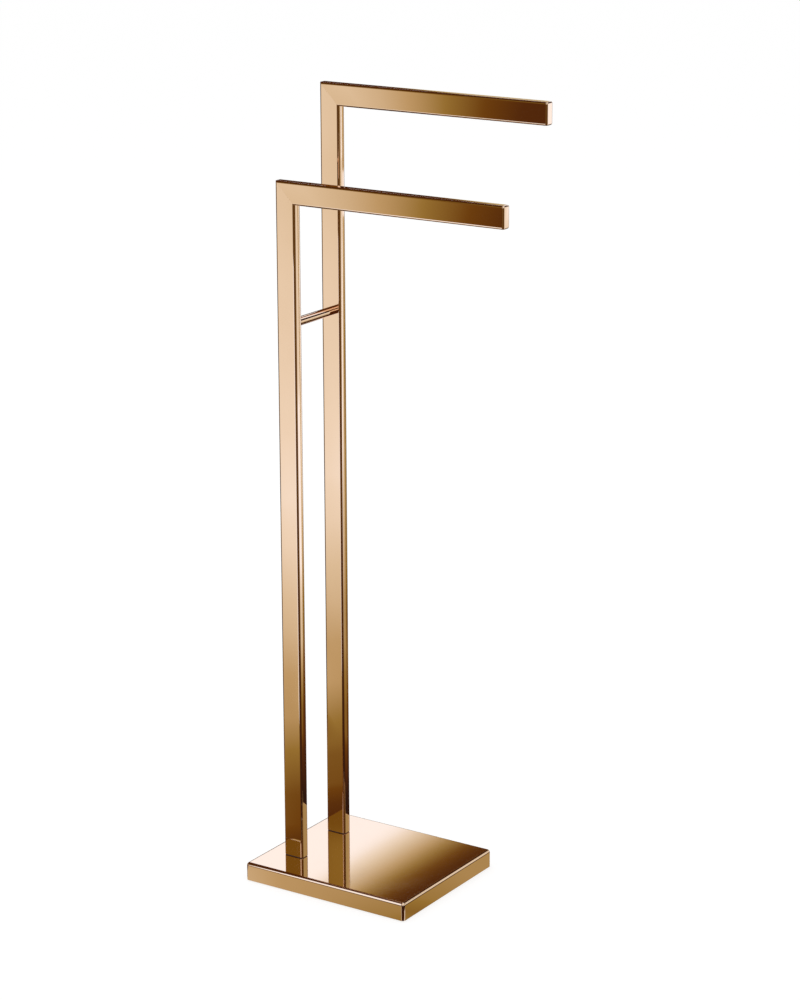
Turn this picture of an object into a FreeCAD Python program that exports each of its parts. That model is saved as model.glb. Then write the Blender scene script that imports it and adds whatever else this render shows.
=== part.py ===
"""Freestanding towel stand: two mitred tube frames, one behind the other, on a weighted base.

Millimetres. The origin is the centre of the base on the floor. +X runs along the arms, +Y runs
from the lower front frame to the taller rear frame, and +Z is up.
"""

import FreeCAD, Part
import Sketcher
import os
import re

from FreeCAD import Placement, Rotation, Vector

SIZES = {
    # the frames
    "overall_height": 900.0,
    "lower_arm_height": 804.0,
    "arm_reach": 288.0,
    "tube_width": 25.0,
    "tube_depth": 12.0,
    "tube_wall": 1.5,
    "tube_edge": 2.4,
    "post_gap": 74.0,
    "post_inset": 23.5,
    # the base
    "base_length": 215.0,
    "base_width": 185.0,
    "base_height": 22.0,
    "rim_lift": 1.0,
    "cover_wall": 1.5,
    "cover_edge": 3.4,
    "cover_inside_edge": 1.0,
    "weight_web": 5.5,
    "weight_edge": 0.8,
    "plate_thickness": 2.0,
    "plate_clearance": 0.5,
    "pad_thickness": 3.0,
    "pad_inset": 2.0,
    "pad_corner": 3.0,
    "gasket_thickness": 0.8,
    "gasket_inset": 0.3,
    # what is inside the tubes
    "slip_clearance": 0.15,
    "key_leg": 42.0,
    "cap_thickness": 2.0,
    "cap_edge": 1.8,
    "cap_spigot": 12.0,
    "foot_block_height": 36.0,
    "spacer_block_height": 18.0,
    # the spacer bar
    "spacer_height": 646.0,
    "spacer_diameter": 10.0,
    "spacer_chamfer": 0.5,
    "stud_diameter": 5.0,
    "stud_length": 15.0,
    "stud_in_bar": 8.0,
    "stud_chamfer": 0.5,
    "grub_diameter": 3.0,
    "grub_setback": 4.5,
    "grub_recess": 0.2,
    "grub_key_size": 1.5,
    "grub_key_depth": 1.0,
    # the fasteners under the base
    "post_screw_diameter": 5.0,
    "post_screw_length": 20.0,
    "post_screw_spacing": 12.0,
    "post_screw_head": 8.5,
    "post_screw_head_height": 5.0,
    "post_screw_chamfer": 0.6,
    "post_key_size": 4.0,
    "post_key_depth": 2.5,
    "washer_diameter": 10.0,
    "washer_thickness": 1.0,
    "plate_screw_diameter": 4.0,
    "plate_screw_length": 10.0,
    "plate_screw_head": 7.6,
    "plate_screw_inset": 20.0,
    "plate_key_size": 2.5,
    "plate_key_depth": 1.2,
    "screw_clearance": 0.5,
    "recess_clearance": 0.6,
    "thread_gap": 0.1,
}

# places that several pieces share, worked out from the sizes
POST_X = "(post_inset + tube_width / 2 - base_length / 2)"
POST_Y = "((post_gap + tube_depth) / 2)"
POST_FOOT = "(base_height + gasket_thickness)"
ARM_END = "(post_inset - base_length / 2 + arm_reach - cap_thickness)"
WEIGHT_FOOT = "(pad_thickness + plate_thickness)"
WEIGHT_TOP = "(base_height - cover_wall)"
RECESS_TOP = "(base_height - cover_wall - weight_web)"
CAVITY_LENGTH = "(base_length - 2 * cover_wall)"
CAVITY_WIDTH = "(base_width - 2 * cover_wall)"
INSERT_WIDTH = "(tube_width - 2 * tube_wall - 2 * slip_clearance)"
INSERT_DEPTH = "(tube_depth - 2 * tube_wall - 2 * slip_clearance)"
PLATE_SCREW_X = "(base_length / 2 - plate_screw_inset)"
PLATE_SCREW_Y = "(base_width / 2 - plate_screw_inset)"

# each frame: its name, the side of the base that it stands on, and its arm's top
FRAMES = (("front", -1, "lower_arm_height"), ("rear", 1, "overall_height"))

SAME = 1e-6  # how closely two lengths or directions count as equal
UP, ALONG = Vector(0, 0, 1), Vector(1, 0, 0)
OUTER_SIDE_UP = Rotation(Vector(0, 0, -1), Vector(0, -1, 0), Vector(-1, 0, 0), "ZXY")

doc = FreeCAD.newDocument("towel_stand")


# ---------------------------------------------------------------- sizes and expressions
def make_sizes_sheet():
    sheet = doc.addObject("Spreadsheet::Sheet", "Sizes")
    for row, (alias, size) in enumerate(SIZES.items(), 1):
        sheet.set(f"A{row}", alias.replace("_", " "))
        sheet.set(f"B{row}", str(size))
        sheet.setAlias(f"B{row}", alias)
    doc.recompute()
    return sheet


sizes_sheet = make_sizes_sheet()


def from_sheet(text):
    """The expression with each size's name pointed at its cell."""
    return re.sub(r"[a-z]+(?:_[a-z]+)+", lambda word: "Sizes." + word.group(), str(text))


def number(text):
    return float(sizes_sheet.evalExpression(from_sheet(text)))


def bind(feature, setting, text):
    feature.setExpression(setting, from_sheet(text))


# ---------------------------------------------------------------- sketches
def new_body(label):
    body = doc.addObject("PartDesign::Body", label)
    body.Label = label
    body.AllowCompound = True
    return body


def origin_feature(body, role):
    return next(part for part in body.Origin.OriginFeatures if part.Role == role)


def new_sketch(body, name, plane="XY_Plane", lift="0"):
    """A sketch on one of the body's own planes, moved by lift along the plane's normal."""
    sketch = body.newObject("Sketcher::SketchObject", name)
    sketch.AttachmentSupport = (origin_feature(body, plane), [""])
    sketch.MapMode = "FlatFace"
    if lift != "0":
        bind(sketch, "AttachmentOffset.Base.z", lift)
    return sketch


def dimension(sketch, constraint, text):
    """Adds a constraint whose last value is the expression's, and binds it to the sheet."""
    index = sketch.addConstraint(Sketcher.Constraint(*constraint, number(text)))
    name = f"size_{index}"
    sketch.renameConstraint(index, name)
    bind(sketch, f"Constraints.{name}", text)


def fix_point(sketch, line, end, x, y):
    """Ties one point of the geometry to its x and y from the sketch's origin."""
    dimension(sketch, ("DistanceX", -1, 1, line, end), x)
    dimension(sketch, ("DistanceY", -1, 1, line, end), y)


def add_polygon(sketch, corners):
    """A closed outline through corners, each an (x, y) pair of expressions."""
    places = [Vector(number(x), number(y), 0) for x, y in corners]
    lines = []
    for start, end in zip(places, places[1:] + places[:1]):
        lines.append(sketch.addGeometry(Part.LineSegment(start, end)))
    for line, following in zip(lines, lines[1:] + lines[:1]):
        sketch.addConstraint(Sketcher.Constraint("Coincident", line, 2, following, 1))
    for line, (x, y) in zip(lines, corners):
        fix_point(sketch, line, 1, x, y)


def add_rectangle(sketch, width, depth, x="0", y="0"):
    left, right = f"{x} - {width} / 2", f"{x} + {width} / 2"
    low, high = f"{y} - {depth} / 2", f"{y} + {depth} / 2"
    add_polygon(sketch, ((left, low), (right, low), (right, high), (left, high)))


def add_circle(sketch, diameter, x="0", y="0"):
    centre = Vector(number(x), number(y), 0)
    circle = sketch.addGeometry(Part.Circle(centre, Vector(0, 0, 1), number(diameter) / 2))
    fix_point(sketch, circle, 3, x, y)
    dimension(sketch, ("Diameter", circle), diameter)


def add_hexagon(sketch, across_flats, x="0", y="0"):
    half, point = f"{across_flats} / 2", f"{across_flats} / sqrt(3)"
    add_polygon(
        sketch,
        (
            (x, f"{y} - {point}"),
            (f"{x} + {half}", f"{y} - {point} / 2"),
            (f"{x} + {half}", f"{y} + {point} / 2"),
            (x, f"{y} + {point}"),
            (f"{x} - {half}", f"{y} + {point} / 2"),
            (f"{x} - {half}", f"{y} - {point} / 2"),
        ),
    )


# ---------------------------------------------------------------- features
def pad(body, sketch, length, midplane=False):
    feature = body.newObject("PartDesign::Pad", sketch.Name + "_pad")
    feature.Profile = sketch
    feature.Midplane = midplane
    bind(feature, "Length", length)
    doc.recompute()
    return feature


def pocket(body, sketch, depth=None, towards_normal=False, midplane=False):
    """Cuts away from the sketch's normal, or along it; no depth means right through."""
    before = body.Shape.Volume
    feature = body.newObject("PartDesign::Pocket", sketch.Name + "_pocket")
    feature.Profile = sketch
    feature.Reversed = towards_normal
    feature.Midplane = midplane
    if depth is None:
        feature.Type = "ThroughAll"
    else:
        bind(feature, "Length", depth)
    doc.recompute()
    if body.Shape.Volume >= before:
        raise RuntimeError(f"{feature.Name} cuts nothing")
    return feature


def revolve(body, sketch):
    """Turns the outline round the sketch's vertical axis."""
    feature = body.newObject("PartDesign::Revolution", sketch.Name + "_turned")
    feature.Profile = sketch
    feature.ReferenceAxis = (sketch, ["V_Axis"])
    feature.Angle = 360
    doc.recompute()
    return feature


def edge_names(shape, wanted):
    return [f"Edge{index}" for index, edge in enumerate(shape.Edges, 1) if wanted(edge)]


def dress_edges(body, kind, setting, size, wanted):
    """A fillet or chamfer on the edges that wanted picks."""
    base = body.Tip
    feature = body.newObject(f"PartDesign::{kind}", f"{body.Name}_{kind.lower()}")
    feature.Base = (base, edge_names(base.Shape, wanted))
    bind(feature, setting, size)
    doc.recompute()
    return feature


def round_edges(body, radius, wanted):
    return dress_edges(body, "Fillet", "Radius", radius, wanted)


def chamfer_edges(body, size, wanted):
    return dress_edges(body, "Chamfer", "Size", size, wanted)


def runs_along(edge, axis):
    """True for a straight edge along the unit vector axis."""
    if edge.Curve.TypeId != "Part::GeomLine":
        return False
    return abs(abs(edge.tangentAt(edge.FirstParameter).dot(axis)) - 1) < SAME


def is_circle(edge):
    return edge.Curve.TypeId == "Part::GeomCircle"


def at_corner(edge, box):
    """True for an upright edge at a corner of a box centred on the origin."""
    return abs(edge.BoundBox.XMin) > box.XMax - SAME and abs(edge.BoundBox.YMin) > box.YMax - SAME


def mirror(body, features, plane="XZ_Plane"):
    feature = body.newObject("PartDesign::Mirrored", body.Name + "_mirrored")
    feature.Originals = features
    feature.MirrorPlane = (origin_feature(body, plane), [""])
    body.Tip = feature
    doc.recompute()


def repeat_on_rectangle(body, features, spacing_x, spacing_y):
    """Copies the features to the four corners of a rectangle, from its low corner."""
    grid = body.newObject("PartDesign::MultiTransform", body.Name + "_grid")
    grid.Originals = features
    rows = []
    for axis, spacing in (("X_Axis", spacing_x), ("Y_Axis", spacing_y)):
        row = body.newObject("PartDesign::LinearPattern", f"{body.Name}_{axis}")
        row.Direction = (origin_feature(body, axis), [""])
        row.Occurrences = 2
        bind(row, "Length", spacing)
        rows.append(row)
    grid.Transformations = rows
    body.Tip = grid
    doc.recompute()


def place(body, x="0", y="0", z="0", rotation=Rotation()):
    body.Placement = Placement(Vector(number(x), number(y), number(z)), rotation)
    for setting, text in (("x", x), ("y", y), ("z", z)):
        bind(body, f"Placement.Base.{setting}", text)


# ---------------------------------------------------------------- the frames
def mitred_tube(label, length):
    """A rectangular tube that stands on its square end, and is mitred at the top.

    Its wide faces look along Y, and its longer side, at -X, has the full length.
    """
    body = new_body(label)
    section = new_sketch(body, f"{label}_section")
    add_rectangle(section, "tube_width", "tube_depth")
    pad(body, section, length)
    round_edges(body, "tube_edge", lambda edge: runs_along(edge, UP))
    bore = new_sketch(body, f"{label}_bore")
    add_rectangle(bore, "(tube_width - 2 * tube_wall)", "(tube_depth - 2 * tube_wall)")
    pocket(body, bore, towards_normal=True)
    mitre = new_sketch(body, f"{label}_mitre", "XZ_Plane")
    add_polygon(
        mitre,
        (
            ("-tube_width / 2", length),
            ("tube_width / 2", f"{length} - tube_width"),
            ("tube_width / 2 + tube_width", f"{length} - tube_width"),
            ("tube_width / 2 + tube_width", f"{length} + tube_width"),
            ("-tube_width / 2", f"{length} + tube_width"),
        ),
    )
    pocket(body, mitre, "2 * tube_depth", midplane=True)
    return body


def make_post(frame, side, arm_top):
    body = mitred_tube(f"{frame}_post", f"({arm_top} - {POST_FOOT})")
    stud_hole = new_sketch(body, f"{frame}_stud_hole", "XZ_Plane")
    add_circle(stud_hole, "(stud_diameter + screw_clearance)", y=f"(spacer_height - {POST_FOOT})")
    pocket(body, stud_hole, "tube_depth", towards_normal=side > 0)
    place(body, POST_X, f"{side} * {POST_Y}", POST_FOOT)


def make_arm(frame, side, arm_top):
    body = mitred_tube(f"{frame}_arm", "(arm_reach - cap_thickness)")
    place(body, ARM_END, f"{side} * {POST_Y}", f"{arm_top} - tube_width / 2", OUTER_SIDE_UP)


def make_corner_key(frame, side, arm_top):
    """The L-shaped key that is bonded into both tubes behind the mitre."""
    label = f"{frame}_corner_key"
    body = new_body(label)
    outline = new_sketch(body, f"{label}_outline", "XZ_Plane")
    half = f"{INSERT_WIDTH} / 2"
    leg = f"(key_leg - {half})"
    add_polygon(
        outline,
        (
            (f"-{half}", f"-{leg}"),
            (half, f"-{leg}"),
            (half, f"-{half}"),
            (leg, f"-{half}"),
            (leg, half),
            (f"-{half}", half),
        ),
    )
    pad(body, outline, INSERT_DEPTH, midplane=True)
    place(body, POST_X, f"{side} * {POST_Y}", f"{arm_top} - tube_width / 2")


def make_end_cap(frame, side, arm_top):
    """The plate that closes an arm, with the spigot that plugs the tube."""
    label = f"{frame}_end_cap"
    body = new_body(label)
    plate = new_sketch(body, f"{label}_plate", "YZ_Plane")
    add_rectangle(plate, "tube_depth", "tube_width")
    pad(body, plate, "cap_thickness")
    round_edges(body, "tube_edge", lambda edge: runs_along(edge, ALONG))
    outer_face = number("cap_thickness")
    round_edges(body, "cap_edge", lambda edge: abs(edge.BoundBox.XMin - outer_face) < SAME)
    spigot = new_sketch(body, f"{label}_spigot", "YZ_Plane", "-cap_spigot")
    add_rectangle(spigot, INSERT_DEPTH, INSERT_WIDTH)
    pad(body, spigot, "cap_spigot")
    place(body, ARM_END, f"{side} * {POST_Y}", f"{arm_top} - tube_width / 2")


def make_foot_block(frame, side, arm_top):
    """The steel block in a post's lower end, tapped for the two post screws."""
    label = f"{frame}_foot_block"
    body = new_body(label)
    outline = new_sketch(body, f"{label}_outline")
    add_rectangle(outline, INSERT_WIDTH, INSERT_DEPTH)
    pad(body, outline, "foot_block_height")
    tapped = new_sketch(body, f"{label}_tapped")
    for step in (-1, 1):
        x = f"{step} * post_screw_spacing / 2"
        add_circle(tapped, "(post_screw_diameter + thread_gap)", x)
    pocket(body, tapped, towards_normal=True)
    place(body, POST_X, f"{side} * {POST_Y}", POST_FOOT)


# ---------------------------------------------------------------- the spacer bar
def make_spacer_bar():
    body = new_body("spacer_bar")
    section = new_sketch(body, "spacer_section", "XZ_Plane")
    add_circle(section, "spacer_diameter")
    pad(body, section, "post_gap", midplane=True)
    chamfer_edges(body, "spacer_chamfer", is_circle)
    for frame, end in (("rear", -1), ("front", 1)):
        bore = new_sketch(body, f"{frame}_bar_bore", "XZ_Plane", f"{end} * post_gap / 2")
        add_circle(bore, "(stud_diameter + 2 * thread_gap)")
        pocket(body, bore, "(stud_in_bar + screw_clearance)", towards_normal=end < 0)
    tapped = new_sketch(body, "spacer_grub_holes")
    for end in (-1, 1):
        add_circle(tapped, "(grub_diameter + thread_gap)", y=f"{end} * (post_gap / 2 - grub_setback)")
    pocket(body, tapped)
    place(body, POST_X, "0", "spacer_height")


def make_spacer_studs():
    """Two studs, each screwed into a spacer block and slid into the bar's bore."""
    body = new_body("spacer_studs")
    outline = new_sketch(body, "stud_outline")
    inner, outer = "-(post_gap / 2 - stud_in_bar)", "-(post_gap / 2 - stud_in_bar + stud_length)"
    radius = "stud_diameter / 2"
    add_polygon(
        outline,
        (
            ("0", outer),
            (f"{radius} - stud_chamfer", outer),
            (radius, f"{outer} + stud_chamfer"),
            (radius, f"{inner} - stud_chamfer"),
            (f"{radius} - stud_chamfer", inner),
            ("0", inner),
        ),
    )
    mirror(body, [revolve(body, outline)])
    place(body, POST_X, "0", "spacer_height")


def make_spacer_blocks():
    """Two tapped blocks bonded in the posts, which take the studs."""
    body = new_body("spacer_blocks")
    outline = new_sketch(body, "spacer_block_outline")
    add_rectangle(outline, INSERT_WIDTH, INSERT_DEPTH, y=f"-{POST_Y}")
    block = pad(body, outline, "spacer_block_height", midplane=True)
    tapped = new_sketch(body, "spacer_block_tapped", "XZ_Plane")
    add_circle(tapped, "(stud_diameter + thread_gap)")
    hole = pocket(body, tapped, "(post_gap + 2 * tube_depth)", midplane=True)
    mirror(body, [block, hole])
    place(body, POST_X, "0", "spacer_height")


def make_grub_screws():
    """Two grub screws in the bar's underside, each with its tip on a stud."""
    body = new_body("spacer_grub_screws")
    outline = new_sketch(body, "grub_outline", lift="grub_recess - spacer_diameter / 2")
    place_y = "-(post_gap / 2 - grub_setback)"
    add_circle(outline, "grub_diameter", y=place_y)
    shank = pad(body, outline, "((spacer_diameter - stud_diameter) / 2 - grub_recess)")
    socket = new_sketch(body, "grub_socket", lift="grub_recess - spacer_diameter / 2")
    add_hexagon(socket, "grub_key_size", y=place_y)
    mirror(body, [shank, pocket(body, socket, "grub_key_depth", towards_normal=True)])
    place(body, POST_X, "0", "spacer_height")


# ---------------------------------------------------------------- the base
def add_post_screw_circles(sketch, diameter):
    for side in (-1, 1):
        for step in (-1, 1):
            x = f"{POST_X} + {step} * post_screw_spacing / 2"
            add_circle(sketch, diameter, x, f"{side} * {POST_Y}")


def add_plate_screw_circles(sketch, diameter):
    for side in (-1, 1):
        for end in (-1, 1):
            add_circle(sketch, diameter, f"{end} * {PLATE_SCREW_X}", f"{side} * {PLATE_SCREW_Y}")


def add_access_openings(sketch):
    """One opening under each post, for its two screw heads and the key."""
    width = "(washer_diameter + recess_clearance)"
    length = f"({width} + post_screw_spacing)"
    for side in (-1, 1):
        add_rectangle(sketch, length, width, POST_X, f"{side} * {POST_Y}")


def make_base_cover():
    """The polished shell, open below, which the posts stand on."""
    body = new_body("base_cover")
    outline = new_sketch(body, "cover_outline")
    add_rectangle(outline, "base_length", "base_width")
    pad(body, outline, "(base_height - rim_lift)")
    round_edges(body, "cover_edge", lambda edge: edge.BoundBox.ZMax > SAME)
    cavity = new_sketch(body, "cover_cavity")
    add_rectangle(cavity, CAVITY_LENGTH, CAVITY_WIDTH)
    pocket(body, cavity, "(base_height - rim_lift - cover_wall)", towards_normal=True)
    ceiling = number("(base_height - rim_lift - cover_wall)")
    round_edges(body, "cover_inside_edge", lambda edge: abs(edge.BoundBox.ZMax - ceiling) < SAME)
    holes = new_sketch(body, "cover_screw_holes")
    add_post_screw_circles(holes, "(post_screw_diameter + screw_clearance)")
    pocket(body, holes, towards_normal=True)
    place(body, z="rim_lift")


def make_base_weight():
    """The cast slab that fills the shell, with recesses for the post screws' heads."""
    body = new_body("base_weight")
    outline = new_sketch(body, "weight_outline")
    add_rectangle(
        outline,
        f"({CAVITY_LENGTH} - 2 * slip_clearance)",
        f"({CAVITY_WIDTH} - 2 * slip_clearance)",
    )
    pad(body, outline, f"({WEIGHT_TOP} - {WEIGHT_FOOT})")
    chamfer_edges(body, "weight_edge", lambda edge: True)
    holes = new_sketch(body, "weight_screw_holes")
    add_post_screw_circles(holes, "(post_screw_diameter + screw_clearance)")
    pocket(body, holes, towards_normal=True)
    recesses = new_sketch(body, "weight_head_recesses")
    add_post_screw_circles(recesses, "(washer_diameter + recess_clearance)")
    pocket(body, recesses, f"({RECESS_TOP} - {WEIGHT_FOOT})", towards_normal=True)
    tapped = new_sketch(body, "weight_tapped_holes")
    add_plate_screw_circles(tapped, "(plate_screw_diameter + thread_gap)")
    pocket(body, tapped, "plate_screw_length", towards_normal=True)
    place(body, z=WEIGHT_FOOT)


def make_bottom_plate():
    """The sheet that closes the shell, countersunk for its four screws."""
    body = new_body("bottom_plate")
    outline = new_sketch(body, "plate_outline")
    add_rectangle(
        outline,
        f"({CAVITY_LENGTH} - 2 * plate_clearance)",
        f"({CAVITY_WIDTH} - 2 * plate_clearance)",
    )
    pad(body, outline, "plate_thickness")
    openings = new_sketch(body, "plate_openings")
    add_access_openings(openings)
    pocket(body, openings, towards_normal=True)
    holes = new_sketch(body, "plate_screw_holes")
    add_plate_screw_circles(holes, "(plate_screw_diameter + screw_clearance)")
    pocket(body, holes, towards_normal=True)
    place(body, z="pad_thickness")
    chamfer_edges(
        body,
        "((plate_screw_head - plate_screw_diameter) / 2)",
        lambda edge: is_circle(edge) and edge.BoundBox.ZMax < SAME,
    )


def make_floor_pad():
    body = new_body("floor_pad")
    outline = new_sketch(body, "pad_outline")
    add_rectangle(
        outline, f"({CAVITY_LENGTH} - 2 * pad_inset)", f"({CAVITY_WIDTH} - 2 * pad_inset)"
    )
    pad(body, outline, "pad_thickness")
    openings = new_sketch(body, "pad_openings")
    add_access_openings(openings)
    pocket(body, openings, towards_normal=True)
    box = body.Shape.BoundBox
    round_edges(body, "pad_corner", lambda edge: runs_along(edge, UP) and at_corner(edge, box))
    place(body)


def make_post_gaskets():
    """A thin gasket under each post, with holes for its two screws."""
    body = new_body("post_gaskets")
    outline = new_sketch(body, "gasket_outline")
    for side in (-1, 1):
        add_rectangle(
            outline,
            "(tube_width - 2 * gasket_inset)",
            "(tube_depth - 2 * gasket_inset)",
            POST_X,
            f"{side} * {POST_Y}",
        )
    pad(body, outline, "gasket_thickness")
    round_edges(body, "(tube_edge - gasket_inset)", lambda edge: runs_along(edge, UP))
    holes = new_sketch(body, "gasket_holes")
    add_post_screw_circles(holes, "(post_screw_diameter + screw_clearance)")
    pocket(body, holes, towards_normal=True)
    place(body, z="base_height")


# ---------------------------------------------------------------- the fasteners
def make_post_screws():
    """Four socket-head screws, heads down, from the weight's recesses into the foot blocks."""
    body = new_body("post_screws")
    outline = new_sketch(body, "post_screw_outline", "XZ_Plane")
    shank, head = "post_screw_diameter / 2", "post_screw_head / 2"
    add_polygon(
        outline,
        (
            ("0", "-post_screw_head_height"),
            (f"{head} - post_screw_chamfer", "-post_screw_head_height"),
            (head, "post_screw_chamfer - post_screw_head_height"),
            (head, "0"),
            (shank, "0"),
            (shank, "post_screw_length - post_screw_chamfer"),
            (f"{shank} - post_screw_chamfer", "post_screw_length"),
            ("0", "post_screw_length"),
        ),
    )
    screw = revolve(body, outline)
    socket = new_sketch(body, "post_screw_socket", lift="-post_screw_head_height")
    add_hexagon(socket, "post_key_size")
    key = pocket(body, socket, "post_key_depth", towards_normal=True)
    repeat_on_rectangle(body, [screw, key], "post_screw_spacing", f"2 * {POST_Y}")
    place(
        body,
        f"{POST_X} - post_screw_spacing / 2",
        f"-{POST_Y}",
        f"{RECESS_TOP} - washer_thickness",
    )


def make_post_washers():
    body = new_body("post_washers")
    outline = new_sketch(body, "washer_outline")
    add_circle(outline, "washer_diameter")
    add_circle(outline, "(post_screw_diameter + screw_clearance)")
    washer = pad(body, outline, "washer_thickness")
    repeat_on_rectangle(body, [washer], "post_screw_spacing", f"2 * {POST_Y}")
    place(
        body,
        f"{POST_X} - post_screw_spacing / 2",
        f"-{POST_Y}",
        f"{RECESS_TOP} - washer_thickness",
    )


def make_plate_screws():
    """Four countersunk screws, flush with the bottom plate, up into the weight."""
    body = new_body("plate_screws")
    outline = new_sketch(body, "plate_screw_outline", "XZ_Plane")
    shank, head = "plate_screw_diameter / 2", "plate_screw_head / 2"
    cone = "(plate_screw_head - plate_screw_diameter) / 2"
    add_polygon(
        outline,
        (
            ("0", "0"),
            (head, "0"),
            (shank, cone),
            (shank, "plate_screw_length"),
            ("0", "plate_screw_length"),
        ),
    )
    screw = revolve(body, outline)
    socket = new_sketch(body, "plate_screw_socket")
    add_hexagon(socket, "plate_key_size")
    key = pocket(body, socket, "plate_key_depth", towards_normal=True)
    repeat_on_rectangle(body, [screw, key], f"2 * {PLATE_SCREW_X}", f"2 * {PLATE_SCREW_Y}")
    place(body, f"-{PLATE_SCREW_X}", f"-{PLATE_SCREW_Y}", "pad_thickness")


# ---------------------------------------------------------------- the assembly
def build():
    for frame, side, arm_top in FRAMES:
        make_post(frame, side, arm_top)
        make_arm(frame, side, arm_top)
        make_corner_key(frame, side, arm_top)
        make_end_cap(frame, side, arm_top)
        make_foot_block(frame, side, arm_top)
    make_spacer_bar()
    make_spacer_studs()
    make_spacer_blocks()
    make_grub_screws()
    make_base_cover()
    make_base_weight()
    make_bottom_plate()
    make_floor_pad()
    make_post_gaskets()
    make_post_screws()
    make_post_washers()
    make_plate_screws()
    doc.recompute()


def check_and_export():
    for item in doc.Objects:
        if "Invalid" in item.State or "Error" in item.State:
            raise RuntimeError(f"{item.Name} failed: {item.State}")
    bodies = [item for item in doc.Objects if item.TypeId == "PartDesign::Body"]
    for body in bodies:
        if body.Shape.isNull() or not body.Shape.isValid():
            raise RuntimeError(f"{body.Label} has no valid shape")
    os.makedirs("parts", exist_ok=True)
    for body in bodies:
        body.Shape.exportStep(f"parts/{body.Label}.step")
        print(body.Label, len(body.Shape.Solids), "solid(s)", round(body.Shape.Volume, 1), "mm3")


build()
check_and_export()
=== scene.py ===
"""Freestanding towel stand in mirror-polished copper: its looks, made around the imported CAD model.

Every length is in metres, in the CAD model's frame: the floor is z = 0, the arms point along +X and
the lower front frame is on the -Y side. Directions round the stand are in degrees, 0 at +Y and 90 at
+X. The script is laid out as an add-on and is run as a script.
"""

import math

import bmesh
import bpy
from mathutils import Matrix, Vector


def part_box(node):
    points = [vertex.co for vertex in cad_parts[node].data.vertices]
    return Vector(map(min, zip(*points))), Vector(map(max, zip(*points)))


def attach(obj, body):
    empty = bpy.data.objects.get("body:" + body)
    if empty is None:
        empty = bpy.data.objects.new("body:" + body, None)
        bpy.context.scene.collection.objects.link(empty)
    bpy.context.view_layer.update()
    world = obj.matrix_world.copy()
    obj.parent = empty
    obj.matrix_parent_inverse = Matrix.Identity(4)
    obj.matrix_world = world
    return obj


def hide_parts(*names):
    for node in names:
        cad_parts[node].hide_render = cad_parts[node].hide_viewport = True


bl_info = {
    "name": "Towel Stand Looks",
    "version": (1, 0, 0),
    "blender": (4, 5, 0),
    "location": "3D View > Sidebar > Towel Stand",
    "description": "Builds the polished tubes, base and studio of a freestanding towel stand",
    "category": "Object",
}

MM = 0.001
BODY = "root"
COPPER_SLOT = "polished_copper"
# Faces that meet at less than this many degrees are shaded as one smooth surface
SMOOTH_ANGLE = 32

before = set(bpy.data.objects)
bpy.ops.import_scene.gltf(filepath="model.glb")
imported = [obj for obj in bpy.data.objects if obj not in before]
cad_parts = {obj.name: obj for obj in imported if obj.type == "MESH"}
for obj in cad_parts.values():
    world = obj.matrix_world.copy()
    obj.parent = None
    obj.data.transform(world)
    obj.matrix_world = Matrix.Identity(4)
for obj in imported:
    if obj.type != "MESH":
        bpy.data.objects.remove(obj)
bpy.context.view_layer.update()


# ---------------------------------------------------------------- sizes and colours

class StandSizes(bpy.types.PropertyGroup):
    """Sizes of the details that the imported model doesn't fix."""

    tube_edge: bpy.props.FloatProperty(
        name="Tube edge", description="Radius of the tubes' four long edges",
        default=2.4 * MM, min=0.5 * MM, max=3 * MM, unit="LENGTH", precision=4)
    cap_edge: bpy.props.FloatProperty(
        name="Cap edge", description="Radius round the outer face of the arms' end caps",
        default=1.8 * MM, min=0.3 * MM, max=1.95 * MM, unit="LENGTH", precision=4)
    base_edge: bpy.props.FloatProperty(
        name="Base edge", description="Radius of the base cover's top and corner edges",
        default=3.4 * MM, min=0.5 * MM, max=3.5 * MM, unit="LENGTH", precision=4)
    base_inside_edge: bpy.props.FloatProperty(
        name="Base inside edge", description="Radius of the base cover's edges on the inside",
        default=1 * MM, min=0.2 * MM, max=1.4 * MM, unit="LENGTH", precision=4)
    seam_edge: bpy.props.FloatProperty(
        name="Seam edge", description="Width of the fine chamfer where two polished pieces meet",
        default=0.12 * MM, min=0.02 * MM, max=0.5 * MM, unit="LENGTH", precision=5)
    cover_wall: bpy.props.FloatProperty(
        name="Cover wall", description="Thickness of the base cover's sheet metal",
        default=1.5 * MM, min=0.5 * MM, max=3 * MM, unit="LENGTH", precision=4)
    bar_chamfer: bpy.props.FloatProperty(
        name="Bar chamfer", description="Chamfer at each end of the spacer bar",
        default=0.5 * MM, min=0.1 * MM, max=1 * MM, unit="LENGTH", precision=4)
    grub_hole: bpy.props.FloatProperty(
        name="Grub screw hole", description="Diameter of the two holes under the spacer bar",
        default=3.1 * MM, min=1 * MM, max=5 * MM, unit="LENGTH", precision=4)


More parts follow.
